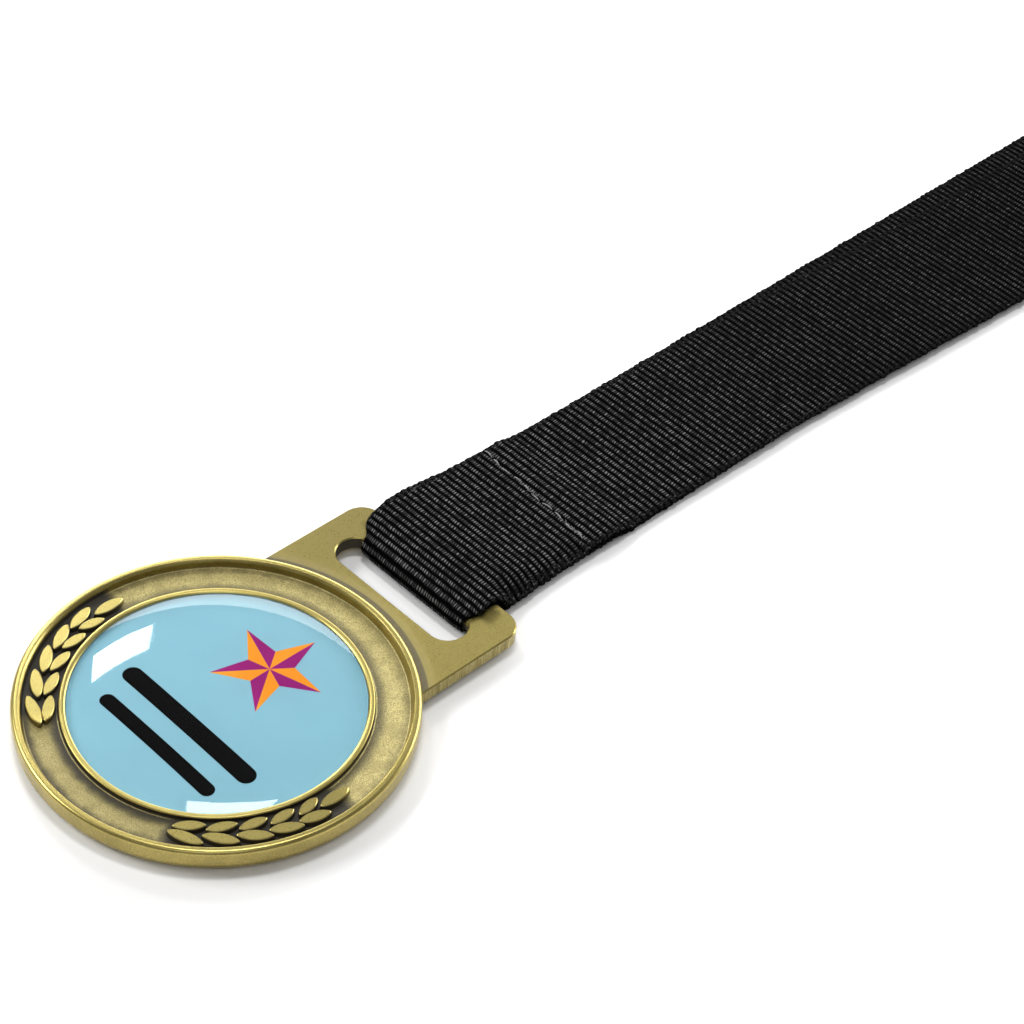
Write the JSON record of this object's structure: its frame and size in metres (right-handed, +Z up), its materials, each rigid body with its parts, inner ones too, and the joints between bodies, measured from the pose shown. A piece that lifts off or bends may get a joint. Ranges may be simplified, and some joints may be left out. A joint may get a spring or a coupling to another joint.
{
  "type": "award medal",
  "caption": "Round award medal with raised rim, laurel relief and domed label, hanging by a slotted lug from a sewn black neck ribbon that is partly rolled up.",
  "frame": {"origin": "centre of the disc on the medal's back face, which is the surface that it lies on", "axes": "+Z up out of the medal's face, +Y from the disc through the lug and along the ribbon, +X across the ribbon"},
  "size_m": [0.05, 0.2339, 0.025],
  "materials": {
    "antique_brass": "plated zinc casting: satin antique brass, dark in the recesses, brushed on the lug",
    "adhesive": "soft, slightly yellow",
    "printed_film": "smooth pale blue print",
    "clear_resin": "clear and glossy",
    "ribbon_cloth": "black ribbed polyester webbing",
    "grey_thread": "grey spun thread",
    "black_thread": "black spun thread"
  },
  "bodies": {
    "ribbon": {"ribbon_eye": "ribbon_cloth", "ribbon_upper_leg": "ribbon_cloth", "ribbon_lower_leg": "ribbon_cloth", "ribbon_roll": "ribbon_cloth", "needle_thread": "grey_thread", "bobbin_thread": "black_thread"},
    "medal": {"medal_casting": "antique_brass", "label_adhesive": "adhesive", "label_print": "printed_film", "label_dome": "clear_resin"}
  },
  "joints": [
    {"name": "medal_swing", "type": "hinge", "parent": "ribbon", "child": "medal", "pos_m": [0, 0.03345, 0.00178], "axis": [-1, 0, 0], "range_deg": [0, 140]}
  ]
}
